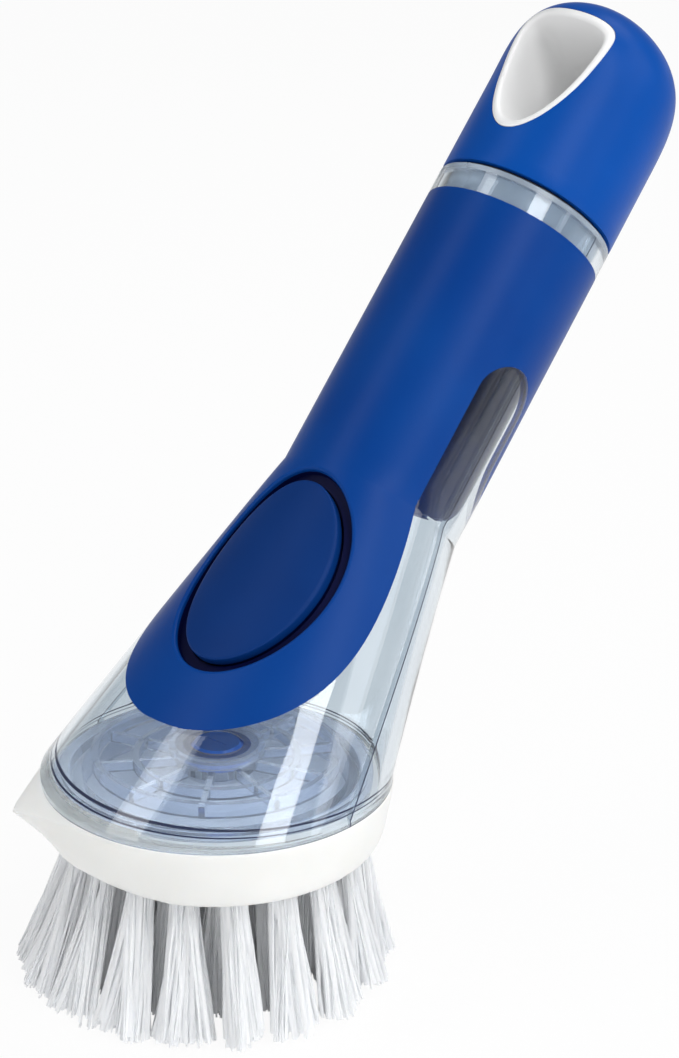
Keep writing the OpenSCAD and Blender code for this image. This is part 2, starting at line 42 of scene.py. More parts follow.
# Camera
# A long lens stands to the right of the wand's front and a little above it, as in the photograph. The whole wand
# fills the upright frame, so the sensor's long side is the picture's height.
camera = bpy.data.objects.new("camera", bpy.data.cameras.new("camera"))
bpy.context.scene.collection.objects.link(camera)
sensor_long, focal_pixels, picture_height = 36.0, 3199.245, 1058
camera.data.sensor_width = sensor_long
camera.data.lens = sensor_long * focal_pixels / picture_height
camera.data.clip_start, camera.data.clip_end = 0.01, 20.0
camera_right = Vector((0.753137, 0.657806, 0.008721))
camera_up = Vector((-0.254526, 0.279137, 0.925904))
camera_back = Vector((0.606631, -0.699553, 0.377657))
camera_turn = Matrix((camera_right, camera_up, camera_back)).transposed().to_4x4()
camera.matrix_world = Matrix.Translation(Vector((391.166, -414.736, 327.221)) * mm) @ camera_turn
bpy.context.scene.camera = camera
bpy.context.scene.view_settings.view_transform = "Standard"


# Brush head
# The head is one moulding of warm white polypropylene: a round block with a well for the bottle's bayonet in its
# top, a rounded foot, and a scraper beak drawn out of its upper edge to the left of the front.
def surface(name, points, wrap_rows=False, wrap_columns=False, caps=(), flip=False):
    """A mesh object from a grid of points, rows by columns by xyz in millimetres, four to a face. A wrapped direction
    joins its last line to its first, caps name end rows that one face closes, and flip turns every face over."""
    rows, columns = points.shape[:2]
    i = np.arange(rows if wrap_rows else rows - 1)[:, None]
    j = np.arange(columns if wrap_columns else columns - 1)[None, :]
    i2, j2 = (i + 1) % rows, (j + 1) % columns
    quads = np.stack(np.broadcast_arrays(i * columns + j, i * columns + j2, i2 * columns + j2, i2 * columns + j), -1)
    quads = quads.reshape(-1, 4)
    faces = (quads[:, ::-1] if flip else quads).tolist()
    for row in caps:
        loop = (row % rows) * columns + np.arange(columns)
        faces.append((loop if (row == 0) == flip else loop[::-1]).tolist())
    mesh = bpy.data.meshes.new(name)
    mesh.from_pydata((points.reshape(-1, 3) * mm).tolist(), [], faces)
    mesh.validate()
    made = bpy.data.objects.new(name, mesh)
    bpy.context.scene.collection.objects.link(made)
    return made


def smooth(piece, degrees=32):
    """Shades every face smooth and keeps the edges sharper than the angle crisp."""
    piece.data.polygons.foreach_set("use_smooth", np.ones(len(piece.data.polygons), bool))
    piece.data.set_sharp_from_angle(angle=math.radians(degrees))


def tidy_normals(piece):
    """Merges the points that coincide, such as those of a pole, and turns every face outwards."""
    work = bmesh.new()
    work.from_mesh(piece.data)
    bmesh.ops.remove_doubles(work, verts=work.verts, dist=1e-7)
    bmesh.ops.recalc_face_normals(work, faces=work.faces)
    work.to_mesh(piece.data)
    work.free()


def turned_profile(corners):
    """Points along a cross-section: each corner is [radius, height, rounding], and a rounding is a quadratic arc
    between the points where it leaves the two straight sides."""
    line = []
    for k, (r, z, bend) in enumerate(corners):
        if bend == 0 or k in (0, len(corners) - 1):
            line.append([[r, z]])
            continue
        here = np.array([r, z])
        before = np.array(corners[k - 1][:2]) - here
        after = np.array(corners[k + 1][:2]) - here
        start = here + before / np.linalg.norm(before) * bend
        end = here + after / np.linalg.norm(after) * bend
        t = np.linspace(0, 1, 9)[:, None]
        line.append((1 - t) ** 2 * start + 2 * t * (1 - t) * here + t * t * end)
    return np.vstack(line)


rim_r, rim_z, underside_z = 35.0, 42.5, 29.3
head_floor, well_r = 35.7, 28.58
beak_turn, beak_reach, beak_fade = math.radians(29), 42.1, math.radians(56)


def full_turn(count):
    """Angles evenly stepped once round."""
    return np.linspace(0, 2 * math.pi, count + 1)[:-1]


def bezier(p, t):
    """A cubic curve at the shares t: its four control points blended by the cubic Bernstein weights."""
    t, p = np.asarray(t, float)[..., None], np.asarray(p, float)
    return (1 - t) ** 3 * p[0] + 3 * (1 - t) ** 2 * t * p[1] + 3 * (1 - t) * t * t * p[2] + t ** 3 * p[3]


def head_outside():
    """Two cross-sections of the head's outside as [radius, height below the rim], row for row: the plain round one,
    and the one through the beak's tip. Their rows are the foot up to the crease, the flank up to the edge, and the
    edge itself. With them come each row's shares of the crease's and of the flank's weight."""
    foot, flank, edge, half = [np.linspace(0, 1, count)[first:] for count, first in ((14, 0), (19, 1), (9, 1), (5, 1))]
    foot_plain = bezier([[29.8, -13.2], [32.2, -13.2], [33.2, -12.2], [33.9, -7.8]], foot)
    foot_beak = bezier([[27.2, -13.2], [29.4, -13.2], [31.6, -12.1], [33.6, -10.8]], foot)
    flank_plain = bezier([[33.9, -7.8], [34.3, -5.6], [34.8, -3.0], [35.0, -0.9]], flank)
    flank_beak = bezier([[33.6, -10.8], [35.3, -8.2], [38.7, -4.9], [42.05, -2.0]], flank)
    edge_plain = bezier([[35.0, -0.9], [35.0, -0.3], [34.9, 0.0], [34.5, 0.0]], edge)
    edge_beak = np.vstack([bezier([[42.05, -2.0], [42.3, -1.5], [42.0, -1.0], [41.2, -0.85]], half),
                           bezier([[41.2, -0.85], [39.4, -0.6], [36.9, -0.1], [34.5, 0.0]], half)])
    crease_part = np.concatenate([np.ones_like(foot), 1 - flank, np.zeros_like(edge)])
    flank_part = np.concatenate([np.zeros_like(foot), flank, np.ones_like(edge)])
    return (np.vstack([foot_plain, flank_plain, edge_plain]), np.vstack([foot_beak, flank_beak, edge_beak]),
            crease_part[:, None], flank_part[:, None])


def head_points():
    """The outside at each angle is plain + weight * (beak - plain). In plan the beak's two flanks leave the round at
    a tangent and meet at the tip, radius R / cos(touch - angle), so the flank's weight is that radius's share of the
    reach, with the tip blunted by a third of a millimetre. The crease below it fades with cos ^ 0.8. The well inside
    is turned."""
    plain, beak, crease_part, flank_part = head_outside()
    around = full_turn(360)
    angle = np.abs((around + beak_turn + math.pi) % (2 * math.pi) - math.pi)[None, :]
    touch = math.acos(rim_r / beak_reach)
    blunt = 0.35 * np.exp(-(angle / 0.035) ** 2)
    flank = rim_r / np.cos(touch - np.minimum(angle, touch)) - blunt
    flank_weight = np.clip((flank - rim_r) / (beak_reach - rim_r), 0, 1)
    crease_weight = np.cos(math.pi / 2 * np.minimum(angle / beak_fade, 1)) ** 0.8
    weight = (crease_part * crease_weight + flank_part * flank_weight)[..., None]
    outside = plain[:, None] + weight * (beak - plain)[:, None]
    foot_r = np.linspace(0.2, 1, 20)[:, None] * outside[0, :, 0]
    under = np.stack([foot_r, np.full_like(foot_r, underside_z - rim_z)], -1)[:-1]
    well_z = head_floor - rim_z
    well = turned_profile([[34.0, 0, 0], [well_r, 0, 0.4], [well_r, well_z, 0.5], [0.2, well_z, 0]])
    well = np.broadcast_to(well[:, None], (len(well), len(around), 2))
    line = np.concatenate([under, outside, well])
    x, y = line[..., 0] * np.sin(around)[None, :], -line[..., 0] * np.cos(around)[None, :]
    return np.stack([x, y, line[..., 1] + rim_z], -1)


brush_head = surface("brush_head_shell", head_points(), wrap_columns=True, caps=(0, -1))
tidy_normals(brush_head)
smooth(brush_head, 22)


def set_values(node, **values):
    """Sets constants on a node's named sockets, where an underscore stands for a space."""
    for label, value in values.items():
        node.inputs[label.replace("_", " ")].default_value = value
    return node


def add_node(tree, kind, **values):
    """A new shader node of a kind, with its constants."""
    return set_values(tree.nodes.new("ShaderNode" + kind), **values)


def calculated(tree, operation, *values):
    """The result of a math node on values, each of them a number or another node's output."""
    node = add_node(tree, "Math")
    node.operation = operation
    for socket, value in zip(node.inputs, values):
        if isinstance(value, (int, float)):
            socket.default_value = value
        else:
            tree.links.new(value, socket)
    return node.outputs[0]


def new_material(name):
    """A node material with its output and its main shader, ready for its own nodes."""
    made = bpy.data.materials.new(name)
    made.use_nodes = True
    tree = made.node_tree
    tree.nodes.clear()
    out, main = add_node(tree, "OutputMaterial"), add_node(tree, "BsdfPrincipled")
    tree.links.new(main.outputs[0], out.inputs[0])
    return made, tree, main


def group_sockets(group, inputs, outputs):
    """Names a group's sockets: floats in, and each output with its kind."""
    for label, value in inputs:
        socket = group.interface.new_socket(name=label, in_out="INPUT", socket_type="NodeSocketFloat")
        socket.default_value = value
    for label, kind in outputs:
        group.interface.new_socket(name=label, in_out="OUTPUT", socket_type=kind)
    return group.nodes.new("NodeGroupInput"), group.nodes.new("NodeGroupOutput")


def moulded_surface_group():
    """The look of any moulded plastic: a fine grain, a slow mottle of shade, and a roughness that wanders a little.
    Grain and mottle are noise on Object coordinates, sized in repeats to the metre."""
    group = bpy.data.node_groups.new("moulded_surface", "ShaderNodeTree")
    source, sink = group_sockets(group, [("Grain Scale", 2500), ("Grain Height", 0.2), ("Mottle Scale", 60),
                                         ("Roughness", 0.4), ("Roughness Range", 0.08)],
                                 [("Mottle", "NodeSocketFloat"), ("Roughness", "NodeSocketFloat"),
                                  ("Normal", "NodeSocketVector")])
    place, bump = add_node(group, "TexCoord"), add_node(group, "Bump", Distance=0.00004)
    grain, mottle = add_node(group, "TexNoise", Detail=3), add_node(group, "TexNoise", Detail=2)
    wander = calculated(group, "SUBTRACT", mottle.outputs["Fac"], 0.5)
    roughness = calculated(group, "MULTIPLY_ADD", wander, source.outputs["Roughness Range"],
                           source.outputs["Roughness"])
    link = group.links.new
    link(place.outputs["Object"], grain.inputs["Vector"])
    link(place.outputs["Object"], mottle.inputs["Vector"])
    link(source.outputs["Grain Scale"], grain.inputs["Scale"])
    link(source.outputs["Mottle Scale"], mottle.inputs["Scale"])
    link(source.outputs["Grain Height"], bump.inputs["Strength"])
    link(grain.outputs["Fac"], bump.inputs["Height"])
    link(mottle.outputs["Fac"], sink.inputs["Mottle"])
    link(roughness, sink.inputs["Roughness"])
    link(bump.outputs["Normal"], sink.inputs["Normal"])
    return group


moulded_surface = moulded_surface_group()


def two_tone(tree, factor, low, high):
    """A colour that runs from low to high with a factor from 0 to 1."""
    ramp = add_node(tree, "ValToRGB")
    for end, position, colour in zip(ramp.color_ramp.elements, (0.3, 0.7), (low, high)):
        end.position, end.color = position, (*colour, 1)
    tree.links.new(factor, ramp.inputs[0])
    return ramp.outputs[0]


def moulded_material(name, low, high, **values):
    """A plain moulded plastic in two close tones, with its own values for the surface group."""
    made, tree, main = new_material(name)
    skin = add_node(tree, "Group")
    skin.node_tree = moulded_surface
    set_values(skin, **values)
    tree.links.new(two_tone(tree, skin.outputs["Mottle"], low, high), main.inputs["Base Color"])
    tree.links.new(skin.outputs["Roughness"], main.inputs["Roughness"])
    tree.links.new(skin.outputs["Normal"], main.inputs["Normal"])
    return made, main


head_white, head_shader = moulded_material("head_white_plastic", (0.875, 0.875, 0.85), (0.91, 0.91, 0.89),
                                           Roughness=0.36, Grain_Height=0.12, Grain_Scale=1800)
set_values(head_shader, Subsurface_Weight=0.25, Subsurface_Radius=(0.004, 0.0035, 0.003), Subsurface_Scale=1.0,
           IOR=1.49)


def dress(piece, material):
    """Gives a piece one material in place of any it has."""
    piece.data.materials.clear()
    piece.data.materials.append(material)


dress(brush_head, head_white)
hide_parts("brush_head")
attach(brush_head, "brush")

# Bristles
# Thirty nine tufts of white nylon are stapled in three rings round one in the middle. Each strand leaves its hole
# straight and leans out with its tuft, and near its end it bends, wavers and clings to a few of its neighbours.
strand_material, strand_tree, strand_shader = new_material("bristle_nylon")


def mixed(tree, share, one, other):
    """One shader blended with another by a share from 0 to 1."""
    mix = add_node(tree, "MixShader")
    for socket, value in zip(mix.inputs, (share, one.outputs[0], other.outputs[0])):
        tree.links.new(value, socket)
    return mix


def let_light_through(tree, main, colour, share):
    """Milky and clear plastic pass light on: a share of each shadow ray goes straight through in the colour."""
    path, through = add_node(tree, "LightPath"), add_node(tree, "BsdfTransparent", Color=(*colour, 1))
    out = next(node for node in tree.nodes if node.type == "OUTPUT_MATERIAL")
    passed = calculated(tree, "MULTIPLY", path.outputs["Is Shadow Ray"], share)
    tree.links.new(mixed(tree, passed, main, through).outputs[0], out.inputs[0])


def bristle_look():
    """Strand colour from a noise stretched along Z, one tone for each strand, and a faint painted shade up its length,
    greyer at the root, where the tufts shade each other."""
    tree, main, link = strand_tree, strand_shader, strand_tree.links.new
    place, split = add_node(tree, "TexCoord"), add_node(tree, "SeparateXYZ")
    squeeze, streak = add_node(tree, "Mapping", Scale=(1, 1, 0.04)), add_node(tree, "TexNoise", Scale=1500)
    # painted shade: the strands' colour darkens towards the root, where the tufts shade each other
    height = add_node(tree, "MapRange", From_Min=0.004, From_Max=0.031, To_Min=1.0, To_Max=0.96)
    rough = add_node(tree, "MapRange", To_Min=0.36, To_Max=0.55)
    bump = add_node(tree, "Bump", Strength=0.25, Distance=0.00003)
    tint = add_node(tree, "Mix", Factor=1)
    tint.data_type, tint.blend_type = "RGBA", "MULTIPLY"
    link(place.outputs["Object"], squeeze.inputs[0])
    link(squeeze.outputs[0], streak.inputs["Vector"])
    link(place.outputs["Object"], split.inputs[0])
    link(split.outputs["Z"], height.inputs["Value"])
    link(two_tone(tree, streak.outputs["Fac"], (0.89, 0.91, 0.94), (0.965, 0.975, 0.985)), tint.inputs[6])
    link(height.outputs[0], tint.inputs[7])
    link(tint.outputs[2], main.inputs["Base Color"])
    link(streak.outputs["Fac"], rough.inputs["Value"])
    link(rough.outputs[0], main.inputs["Roughness"])
    link(streak.outputs["Fac"], bump.inputs["Height"])
    link(bump.outputs["Normal"], main.inputs["Normal"])
    set_values(main, IOR=1.53, Subsurface_Weight=0.5, Subsurface_Radius=(0.0012, 0.0012, 0.0012),
               Subsurface_Scale=1.0)
    let_light_through(tree, main, (1, 1, 1), 0.88)


bristle_look()
strands_drawn = np.random.default_rng(7)
outer_root, outer_lean, strand_r = 27.3, math.radians(12.5), 0.25


def tuft_strands(count, ring_r, lean, per_tuft, wide):
    """Centre lines of every strand in a ring of tufts. A strand starts inside its tuft's round hole, and its end lies
    in an oval about the tuft's leaning axis, wider across than outwards so that neighbours close up; between them it
    follows root + (end - root) * t ^ 1.12, with a sine waver that grows towards the tip. Strands of one cling share
    most of their end."""
    rng, clings, hole_r = strands_drawn, 8, 2.5
    tuft = np.repeat(np.arange(count), per_tuft)
    n = len(tuft)
    spin = 2 * math.pi * (tuft + 0.5) / count
    start_r, start_a = hole_r * np.sqrt(rng.random(n)), 2 * math.pi * rng.random(n)
    cling = rng.integers(0, clings, n) + tuft * clings
    cling_r = np.sqrt(rng.random(count * clings))[cling]
    cling_a = (2 * math.pi * rng.random(count * clings))[cling]
    own = rng.normal(0, 0.42, (n, 2))
    root_u, root_v = start_r * np.cos(start_a), start_r * np.sin(start_a)
    end_u = 3.0 * cling_r * np.cos(cling_a) + 0.55 * root_u + own[:, 0]
    end_v = wide * cling_r * np.sin(cling_a) + 0.75 * root_v + own[:, 1]
    # use has splayed the tufts on the side of the beak a little further
    side = np.cos(spin + math.radians(49))
    splay = (4.0 * np.maximum(side, 0) ** 3 - 1.6 * np.maximum(-side, 0)) * ring_r / outer_root
    out = ring_r + underside_z * math.tan(lean) + splay
    short = np.abs(rng.normal(0, 0.8, n)) + 0.2 + np.abs(rng.normal(0, 0.8, count * clings))[cling]
    t = np.linspace(0, 1, 8)[None, :, None]
    root = np.stack([ring_r + root_u, root_v, np.full(n, underside_z + 0.6)], -1)[:, None]
    end = np.stack([out + end_u, end_v, np.clip(short, 0.12, 5)], -1)[:, None]
    line = root + (end - root) * t ** np.array([1.12, 1.12, 1.0])
    phase, swing = rng.random((n, 2)) * 6.28, rng.normal(0, 0.24, (n, 2))
    line[..., :2] += np.sin(t * 7.5 + phase[:, None]) * swing[:, None] * t ** 1.5
    c, s = np.cos(spin)[:, None], np.sin(spin)[:, None]
    # the tuft's own frame has its first axis outwards, which at the front is -Y; no tip passes the solids' reach
    x = np.clip(line[..., 0] * s + line[..., 1] * c, -38.1, 38.1)
    y = np.maximum(-line[..., 0] * c + line[..., 1] * s, -37.6)
    return np.stack([x, y, line[..., 2]], -1)


def strand_mesh(name, lines):
    """Thin tubes round the centre lines: a ring of four points at each of eight stations, closed at the tip. Most
    strands are round and some are flattened, with the flat side turned by chance."""
    n, stations = lines.shape[:2]
    turn = strands_drawn.random(n) * math.pi
    flat = np.where(strands_drawn.random(n) < 0.45, 2.1, 1.0)
    side = turn[:, None] + np.arange(4)[None, :] * math.pi / 2
    wide = np.stack([np.cos(turn), np.sin(turn), np.zeros(n)], -1)
    ring = np.stack([np.cos(side), np.sin(side), np.zeros_like(side)], -1) * strand_r
    across = np.einsum("nkc,nc->nk", ring, wide)
    ring = ring + across[..., None] * wide[:, None] * (flat - 1)[:, None, None]
    points = lines[:, :, None, :] + ring[:, None, :, :]
    base = (np.arange(n) * stations * 4)[:, None, None]
    i = (np.arange(stations - 1) * 4)[None, :, None]
    j, k = np.arange(4)[None, None, :], (np.arange(4)[None, None, :] + 1) % 4
    quads = np.stack(np.broadcast_arrays(base + i + j, base + i + 4 + j, base + i + 4 + k, base + i + k), -1)
    ends = base[:, 0] + (stations - 1) * 4 + np.array([[3, 2, 1, 0]])
    mesh = bpy.data.meshes.new(name)
    mesh.from_pydata((points.reshape(-1, 3) * mm).tolist(), [], np.vstack([quads.reshape(-1, 4), ends]).tolist())
    made = bpy.data.objects.new(name, mesh)
    bpy.context.scene.collection.objects.link(made)
    smooth(made, 60)
    dress(made, strand_material)
    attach(made, "brush")
    return made


bristles_outer = strand_mesh("bristles_outer", tuft_strands(18, outer_root, outer_lean, 190, 5.4))
middle_lines = tuft_strands(12, outer_root * 0.68, outer_lean * 0.6, 140, 5.2)
bristles_middle = strand_mesh("bristles_middle", middle_lines)
inner_lines = tuft_strands(8, outer_root * 0.385, outer_lean * 0.3, 110, 3.8)
bristles_inner = strand_mesh("bristles_inner", np.vstack([inner_lines, tuft_strands(1, 0, 0, 110, 3.2)]))
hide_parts("tufts_outer")
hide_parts("tufts_middle")
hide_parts("tufts_inner")

# Staples, soap outlet and its seal
# Flat brass staples hold the tufts, a white dish on the head's floor takes the spout and spreads the soap, and a
# rubber ring seals the spout. They keep the shape of the frame's own parts.
staple_brass, staple_shader = moulded_material("staple_brass", (0.72, 0.56, 0.26), (0.82, 0.66, 0.34),
                                               Roughness=0.3, Grain_Height=0.2, Grain_Scale=4000)
set_values(staple_shader, Metallic=1.0)
seal_rubber, _ = moulded_material("seal_rubber", (0.012, 0.014, 0.022), (0.02, 0.022, 0.03),
                                  Roughness=0.45, Grain_Height=0.25, Grain_Scale=3000)
outlet_white, _ = moulded_material("outlet_white", (0.80, 0.80, 0.78), (0.85, 0.85, 0.83), Roughness=0.3,
                                   Grain_Height=0.1, Grain_Scale=2200)
dress(nodes["tuft_anchors"], staple_brass)
dress(nodes["nozzle_seal"], seal_rubber)
dress(nodes["soap_nozzle"], outlet_white)

# Base plate and valve
# The base plate is clear moulded plastic welded in the bottle's mouth, with ring walls, ribs and the bayonet below.
# The valve is a slit plug of blue silicone under a clear clamping ring.
def clear_moulding(name, tint_low, tint_high, roughness, transmission):
    """Clear moulded plastic: transmission, a faint cool tint that wanders with the flow of the melt, and a very
    shallow long-wave ripple in the surface that bends reflections as a real moulding does."""
    made, tree, main = new_material(name)
    link = tree.links.new
    place, bump = add_node(tree, "TexCoord"), add_node(tree, "Bump", Strength=0.12, Distance=0.0012)
    flow, scuff = add_node(tree, "TexNoise", Scale=45, Detail=1), add_node(tree, "TexNoise", Scale=900, Detail=4)
    fine = add_node(tree, "MapRange", From_Min=0.55, From_Max=0.8, To_Min=roughness, To_Max=roughness + 0.05)
    link(place.outputs["Object"], flow.inputs["Vector"])
    link(place.outputs["Object"], scuff.inputs["Vector"])
    link(flow.outputs["Fac"], bump.inputs["Height"])
    link(bump.outputs["Normal"], main.inputs["Normal"])
    link(scuff.outputs["Fac"], fine.inputs["Value"])
    link(fine.outputs[0], main.inputs["Roughness"])
    link(two_tone(tree, flow.outputs["Fac"], tint_low, tint_high), main.inputs["Base Color"])
    set_values(main, Transmission_Weight=transmission, Metallic=0.0, IOR=1.5)
    let_light_through(tree, main, (0.96, 0.97, 0.985), 1.0)
    return made


clear_plastic = clear_moulding("clear_plastic", (0.73, 0.79, 0.84), (0.79, 0.845, 0.885), 0.01, 1.0)
plate_plastic = clear_moulding("base_plate_plastic", (0.80, 0.865, 0.985), (0.86, 0.905, 1.0), 0.04, 0.86)
valve_silicone, valve_shader = moulded_material("valve_silicone", (0.003, 0.13, 0.58), (0.005, 0.15, 0.64),
                                                Roughness=0.3, Grain_Height=0.1, Grain_Scale=2500)
set_values(valve_shader, Coat_Weight=0.3)
dress(nodes["base_plate"], plate_plastic)
dress(nodes["valve_ring"], plate_plastic)
dress(nodes["valve"], valve_silicone)

# Bottle
# Two clear shells, front and rear, welded along both sides and round the base plate, make the flare and the handle.
# The wall is recessed where the soft grip lies, and the front shell is pierced for the press pad.
lean_back, axis_back, handle_r, flare_len = math.radians(43.7), 3.5, 19.5, 60.8
along = np.array([math.sin(lean_back), math.cos(lean_back)])
rearward = np.array([math.cos(lean_back), -math.sin(lean_back)])
bottle_wall, grip_t, bottle_top, grip_top = 2.2, 1.3, 129.6, 124.8
straight_len = bottle_top - flare_len


def on_axis(s, g):
    """A point [y, z] above the rim's plane, s along the handle's axis and g to the rear of it."""
    return np.array([axis_back, 0.0]) + s * along + g * rearward


front_end, back_end = on_axis(flare_len, -handle_r), on_axis(flare_len, handle_r)
rise_front, rise_back = math.radians(39), math.radians(67)
front_line = np.array([[-rim_r, 1.2], [-rim_r + 12.8 * math.cos(rise_front), 1.2 + 12.8 * math.sin(rise_front)],
                       front_end - 8.3 * along, front_end])
back_line = np.array([[rim_r, 1.2], [rim_r + 4.6 * math.cos(rise_back), 1.2 + 4.6 * math.sin(rise_back)],
                      back_end - 20.6 * along, back_end])
side_line = np.array([[rim_r], [33.3], [24.1], [handle_r]])


def bezier_way(p, t):
    """The derivative of that curve by t."""
    t = np.asarray(t, float)[..., None]
    return 3 * ((1 - t) ** 2 * (p[1] - p[0]) + 2 * (1 - t) * t * (p[2] - p[1]) + t * t * (p[3] - p[2]))


def section_lines(w, depth=0.0):
    """Front point, back point and half width of the bottle's section at w: below 0 it is the short lip above the
    rim, from 0 to 1 the flare, and past 1 the straight handle. Depth moves all three in, square to the walls."""
    w, depth = np.asarray(w, float), np.asarray(depth, float)
    t = np.clip(w, 0, 1)
    f, b, half = bezier(front_line, t), bezier(back_line, t), bezier(side_line, t)[..., 0]
    across = (b - f) / np.linalg.norm(b - f, axis=-1, keepdims=True)
    fw, bw = bezier_way(front_line, t), bezier_way(back_line, t)
    fw, bw = fw / np.linalg.norm(fw, axis=-1, keepdims=True), bw / np.linalg.norm(bw, axis=-1, keepdims=True)
    fs = np.abs(across[..., 0] * fw[..., 1] - across[..., 1] * fw[..., 0])
    bs = np.abs(across[..., 0] * bw[..., 1] - across[..., 1] * bw[..., 0])
    f = f + across * (depth / fs)[..., None]
    b = b - across * (depth / bs)[..., None]
    half = half - depth
    low = np.clip(-w, 0, 1)[..., None]
    rise = np.maximum(w - 1, 0)[..., None] * straight_len * along
    flat = np.concatenate([np.ones_like(low), 1 - low], -1)
    f, b = f * flat + rise, b * flat + rise
    return f, b, half


def wall(w, a, depth=0.0):
    """Points of the bottle's wall at section w and angle a from the front, in millimetres in the row's frame. Each
    section is half an ellipse either side: x = half width * sin a, and the rest runs from the front to the back
    point with (1 - cos a) / 2."""
    w, a, depth = np.broadcast_arrays(np.asarray(w, float), np.asarray(a, float), np.asarray(depth, float))
    f, b, half = section_lines(w, depth)
    c = f + (b - f) * ((1 - np.cos(a)) / 2)[..., None]
    return np.stack([half * np.sin(a), c[..., 0], c[..., 1] + rim_z], -1)


def w_at(s):
    """The section whose straight part lies s along the handle's axis."""
    return 1 + (np.asarray(s, float) - flare_len) / straight_len


def to_frame(p):
    """Points [x, g, s] about the handle's axis, moved into the row's frame."""
    p = np.asarray(p, float)
    plane = np.array([axis_back, 0.0]) + p[..., 2:3] * along + p[..., 1:2] * rearward
    return np.stack([p[..., 0], plane[..., 0], plane[..., 1] + rim_z], -1)


flare_rows = np.concatenate([np.linspace(-1, 0, 4)[:-1], np.linspace(0, 1, 61)[:-1]])
straight_rows = np.linspace(1, w_at(bottle_top), 14)


def wall_solid(name, start, end, outside, inside, last, steps):
    """A closed wall between two depths: up the outside, over the top, down the inside, as one ring of rows, over a
    range of angles and with its two seams closed."""
    rows = np.concatenate([flare_rows, straight_rows])
    rows = np.concatenate([rows[rows < last - 1e-6], [last]])
    a = np.linspace(start, end, steps + 1)
    closed = abs(end - start - 2 * math.pi) < 1e-9
    a = a[:-1] if closed else a
    skin = wall(rows[:, None], a[None, :], outside)
    lining = wall(rows[::-1, None], a[None, :], inside)
    points = np.concatenate([skin, lining], 0)
    made = surface(name, points, wrap_rows=True, wrap_columns=closed)
    if not closed:
        n, m = len(rows), points.shape[1]
        mesh = made.data
        quads = []
        for column in (0, m - 1):
            i = np.arange(n - 1)
            quad = np.stack([i, i + 1, 2 * n - 2 - i, 2 * n - 1 - i], -1) * m + column
            quads.append(quad if column == 0 else quad[:, ::-1])
        faces = [list(p.vertices) for p in mesh.polygons] + np.vstack(quads).tolist()
        verts = [tuple(v.co) for v in mesh.vertices]
        mesh.clear_geometry()
        mesh.from_pydata(verts, [], faces)
    return made


def outline_prism(name, outline, grow=0.0):
    """A slab pushed through the bottle from side to side, whose outline is a list of [g, s] points."""
    p = np.array(outline, float)
    if grow:
        way = np.roll(p, -1, 0) - np.roll(p, 1, 0)
        way /= np.linalg.norm(way, axis=1, keepdims=True)
        p = p + grow * np.stack([way[:, 1], -way[:, 0]], -1)
    left = to_frame(np.stack([np.full(len(p), -60.0), p[:, 0], p[:, 1]], -1))
    right = to_frame(np.stack([np.full(len(p), 60.0), p[:, 0], p[:, 1]], -1))
    return surface(name, np.stack([left, right]), wrap_columns=True, caps=(0, -1), flip=True)


def carve(piece, tool, operation="DIFFERENCE", drop=True):
    """Cuts one closed piece with another, exactly, keeps the result as plain mesh and drops the tool after use."""
    tidy_normals(piece)
    tidy_normals(tool)
    cut = piece.modifiers.new("cut", "BOOLEAN")
    cut.operation, cut.object, cut.solver = operation, tool, "EXACT"
    bpy.context.view_layer.update()
    done = bpy.data.meshes.new_from_object(piece.evaluated_get(bpy.context.evaluated_depsgraph_get()))
    piece.modifiers.clear()
    old, piece.data = piece.data, done
    bpy.data.meshes.remove(old)
    if drop:
        bpy.data.objects.remove(tool)
    return piece


window_r, window_mid, window_top = 8.1, -0.7, 96.9
tongue = np.array([[-8.8, 57.8], [-8.8, 30.4], [-13.5, 18.0], [-25.5, -1.0]])
rear_tongue, rear_round = 66.5, 13.0
arch = np.radians(np.arange(180, -1, -5))
arch_points = np.stack([window_mid + window_r * np.cos(arch), window_top - window_r + window_r * np.sin(arch)], -1)
turn = np.radians(np.arange(0, 91, 5))
rear_points = np.stack([window_mid + window_r + (handle_r - window_mid - window_r) * (1 - np.cos(turn)),
                        rear_tongue + rear_round * (1 - np.sin(turn))], -1)
grip_outline = np.vstack([[[-70, grip_top], [-70, -36], [-43, -18.5]], bezier(tongue, np.linspace(1, 0, 41)),
                          arch_points, rear_points, [[70, rear_tongue], [70, grip_top]]])

quarter, whole = math.pi / 2, 2 * math.pi
top_row, weld_overlap, weld_half, weld_deep = w_at(bottle_top), 0.001, 0.0034, 0.2
front_shell = wall_solid("front_shell_clear", -quarter - weld_overlap, quarter + weld_overlap, 0.0, bottle_wall,
                         top_row, 96)
rear_shell = wall_solid("rear_shell_clear", quarter - weld_overlap, 3 * quarter + weld_overlap, 0.0, bottle_wall,
                        top_row, 96)
# the recess and the grip are turned by half a step, so that their edges keep off the shells' seams
half_step = whole / 384
recess = wall_solid("recess", half_step, whole + half_step, -2.0, grip_t, w_at(grip_top + 2), 192)
carve(recess, outline_prism("recess_outline", grip_outline), "INTERSECT")

pad_at, pad_tilt = 35.0, math.radians(5.2)
profile = bezier(front_line, np.linspace(0, 1, 400))
profile_s = (profile - [axis_back, 0]) @ along
pad_y, pad_z = [np.interp(pad_at, profile_s, profile[:, k]) for k in (0, 1)]
pad_origin = np.array([0.0, pad_y, pad_z + rim_z])
pad_angle = math.pi / 2 - lean_back - pad_tilt
pad_up = np.array([0.0, math.cos(pad_angle), math.sin(pad_angle)])
pad_out = np.array([0.0, -math.sin(pad_angle), math.cos(pad_angle)])
pad_long, pad_wide = 21.2, 13.4


